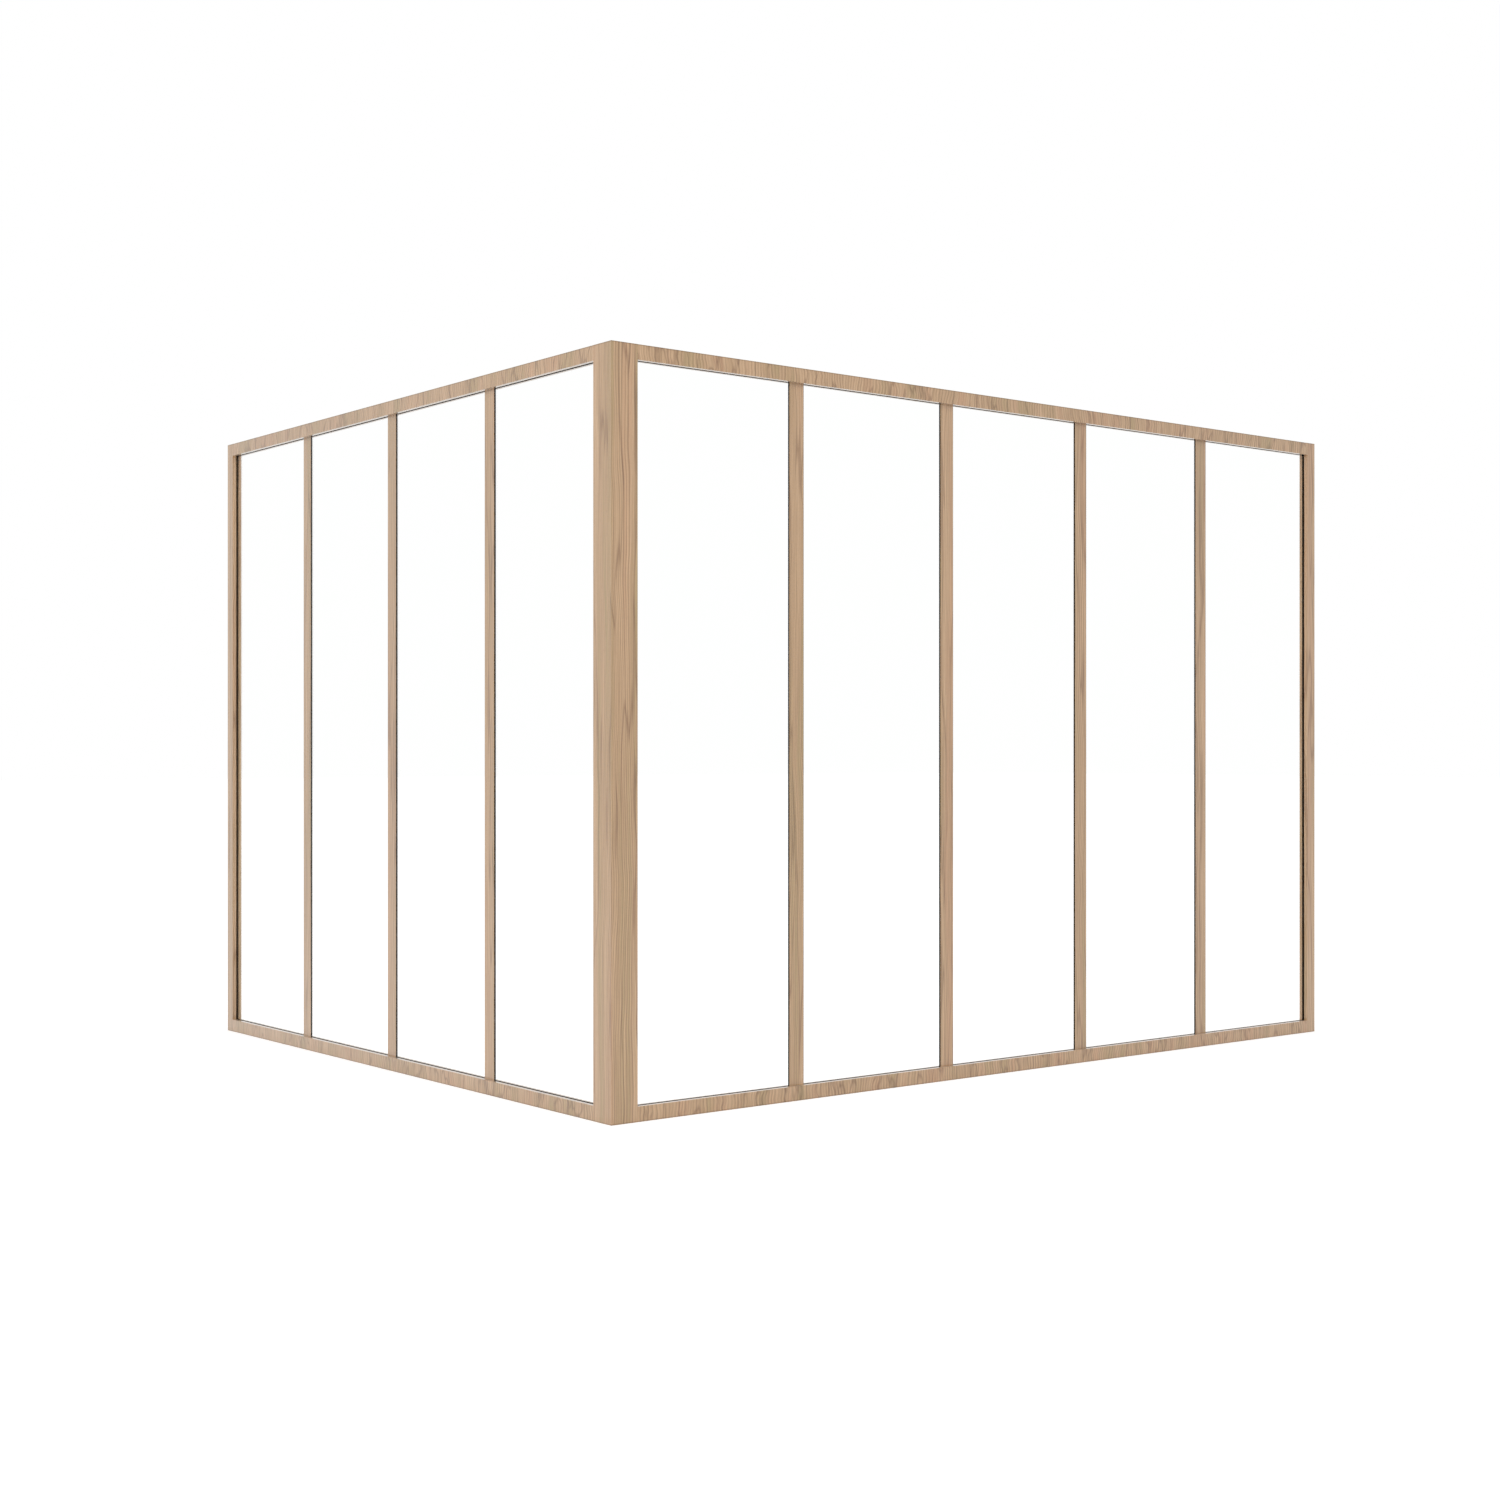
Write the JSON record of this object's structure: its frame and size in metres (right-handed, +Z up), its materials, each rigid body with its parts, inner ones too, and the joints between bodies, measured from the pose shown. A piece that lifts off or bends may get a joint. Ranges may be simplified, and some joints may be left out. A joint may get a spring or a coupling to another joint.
{
  "type": "glass partition wall",
  "caption": "Corner-shaped floor-to-ceiling screen of two fixed glazed wings in a slim oak frame, with thin oak bars between clear panes.",
  "frame": {"origin": "foot of the corner post's outer arris, on the floor", "axes": "+X along the right wing away from the corner, +Y along the left wing away from the corner, +Z up; the outer faces are the planes Y = 0 and X = 0"},
  "size_m": [3.619, 2.897, 2.5],
  "materials": {
    "oak": "clear satin lacquer over light natural oak",
    "glass": "clear float glass",
    "seal": "matt black",
    "setting_block": "matt",
    "dowel": "bare beech",
    "steel_pin": "bright drawn wire"
  },
  "bodies": {
    "root": {"right_bottom_rail": "oak", "right_top_rail": "oak", "right_end_stile": "oak", "right_corner_stile": "oak", "right_glazing_bar_1": "oak", "right_glazing_bar_2": "oak", "right_glazing_bar_3": "oak", "right_glazing_bar_4": "oak", "right_glass_1": "glass", "right_glass_2": "glass", "right_glass_3": "glass", "right_glass_4": "glass", "right_glass_5": "glass", "right_bottom_bead": "oak", "right_top_bead": "oak", "right_corner_bead": "oak", "right_end_bead": "oak", "right_outer_seals": "seal", "right_inner_seals": "seal", "right_bar_seals": "seal", "right_setting_blocks": "setting_block", "right_rail_dowels": "dowel", "right_bar_pins": "steel_pin", "right_bead_pins": "steel_pin", "left_bottom_rail": "oak", "left_top_rail": "oak", "left_end_stile": "oak", "left_corner_stile": "oak", "left_glazing_bar_1": "oak", "left_glazing_bar_2": "oak", "left_glazing_bar_3": "oak", "left_glass_1": "glass", "left_glass_2": "glass", "left_glass_3": "glass", "left_glass_4": "glass", "left_bottom_bead": "oak", "left_top_bead": "oak", "left_corner_bead": "oak", "left_end_bead": "oak", "left_outer_seals": "seal", "left_inner_seals": "seal", "left_bar_seals": "seal", "left_setting_blocks": "setting_block", "left_rail_dowels": "dowel", "left_bar_pins": "steel_pin", "left_bead_pins": "steel_pin", "corner_spline": "dowel"}
  },
  "joints": []
}
